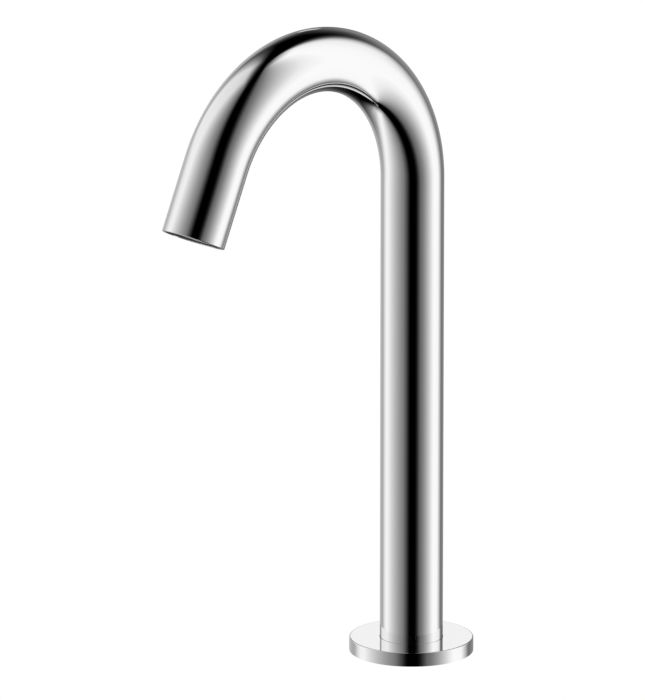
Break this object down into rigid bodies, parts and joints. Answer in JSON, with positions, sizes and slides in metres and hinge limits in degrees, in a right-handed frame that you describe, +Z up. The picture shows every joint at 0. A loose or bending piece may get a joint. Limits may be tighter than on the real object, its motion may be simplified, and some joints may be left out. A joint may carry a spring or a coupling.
{
  "type": "sensor tap",
  "caption": "Touch-free gooseneck basin tap: one bent chrome tube on a round cover flange, sensor and aerator in the tip, threaded shank and nut below the worktop.",
  "frame": {"origin": "centre of the base on the worktop's surface, at the cover flange's underside", "axes": "+Z up along the stem, -Y towards the user and the outlet, +X to the right as seen from the user's side"},
  "size_m": [0.0552, 0.1737, 0.3445],
  "materials": {
    "chrome": "polished",
    "brass": "machined",
    "gold_pins": "plated",
    "steel": "satin",
    "rubber": "matte",
    "black_plastic": "moulded",
    "grey_plastic": "moulded",
    "dark_window": "gloss",
    "clear_lens": "gloss",
    "board": "solder mask",
    "cable": "extruded",
    "hose": "extruded"
  },
  "bodies": {
    "tap": {"spout_tube": "chrome", "outlet_carrier": "black_plastic", "carrier_seal": "rubber", "tip_grub_screw": "steel", "sensor_window": "dark_window", "sensor_gasket": "rubber", "sensor_housing": "black_plastic", "sensor_board": "board", "sensor_cap": "black_plastic", "ir_emitter": "clear_lens", "ir_receiver": "dark_window", "sensor_lead": "cable", "water_tube": "hose", "upper_ferrule": "steel", "lower_ferrule": "steel", "mounting_shank": "brass", "base_plate": "steel", "deck_gasket": "rubber", "inlet_block": "brass", "retaining_clip": "steel", "lead_socket": "black_plastic", "socket_pins": "gold_pins"},
    "cover_flange": {"base_flange": "chrome", "flange_ring": "rubber"},
    "clamp_washers": {"rubber_washer": "rubber", "steel_washer": "steel"},
    "nut": {"mounting_nut": "brass"},
    "aerator_seat": {"aerator_washer": "rubber"},
    "aerator": {"aerator_housing": "grey_plastic", "aerator_grille": "grey_plastic", "aerator_screens": "steel", "aerator_jet": "grey_plastic"}
  },
  "joints": [
    {"name": "flange_lift", "type": "slide", "parent": "tap", "child": "cover_flange", "axis": [0, 0, 1], "range_m": [0, 0.2]},
    {"name": "clamp_slide", "type": "slide", "parent": "tap", "child": "clamp_washers", "axis": [0, 0, 1], "range_m": [-0.018, 0.015]},
    {"name": "nut_turn", "type": "hinge", "parent": "clamp_washers", "child": "nut", "pos_m": [0, 0, -0.029], "axis": [0, 0, 1], "range_deg": [-4336, 3616]},
    {"name": "aerator_draw", "type": "slide", "parent": "tap", "child": "aerator_seat", "axis": [0, -0.4115, -0.9114], "range_m": [0, 0.0085]},
    {"name": "aerator_turn", "type": "hinge", "parent": "aerator_seat", "child": "aerator", "pos_m": [0, -0.13035, 0.21032], "axis": [0, -0.4115, -0.9114], "range_deg": [0, 3066]}
  ],
  "couplings": [
    {"joint": "nut_turn", "follows": "clamp_slide", "rad_per_m": 4188.8},
    {"joint": "aerator_turn", "follows": "aerator_draw", "rad_per_m": 6283.2}
  ]
}
